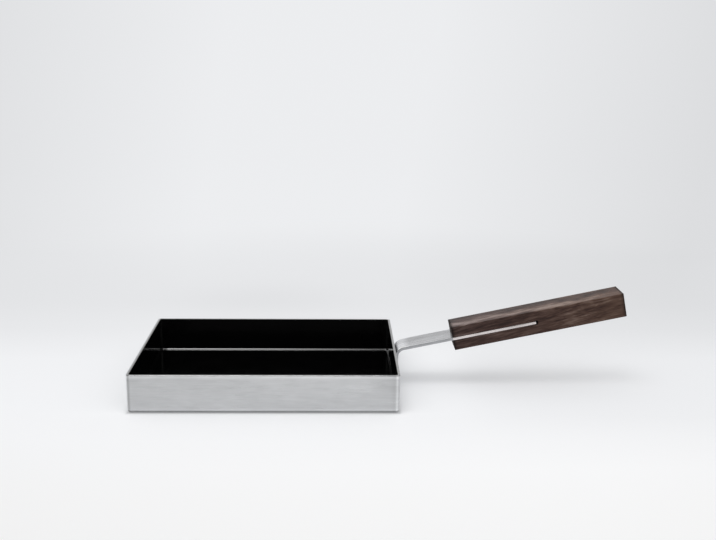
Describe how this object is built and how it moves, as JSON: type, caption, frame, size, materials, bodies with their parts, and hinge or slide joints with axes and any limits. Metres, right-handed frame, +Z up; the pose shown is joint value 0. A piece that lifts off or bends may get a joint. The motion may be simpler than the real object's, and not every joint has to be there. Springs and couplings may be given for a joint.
{
  "type": "tamagoyaki pan",
  "caption": "Rectangular rolled-omelette pan: brushed metal tray with a glossy black lining, a welded bent flat-bar strap and a slotted wooden block grip rising at a low angle.",
  "frame": {"origin": "the middle of the pan's flat underside, on the surface it stands on", "axes": "+X along the pan's long sides towards the handle, +Y towards the back, +Z up"},
  "size_m": [0.3436, 0.13, 0.068],
  "materials": {
    "brushed_metal": "fine lengthwise brushing, satin",
    "black_lining": "glossy black non-stick coating",
    "strap_steel": "brushed along its length, satin",
    "dark_wood": "dark walnut, oiled, low sheen",
    "screw_steel": "plain steel screws"
  },
  "bodies": {
    "root": {"pan_body": "brushed_metal", "nonstick_lining": "black_lining", "handle_strap": "strap_steel", "wood_grip": "dark_wood", "grip_screws": "screw_steel"}
  },
  "joints": []
}
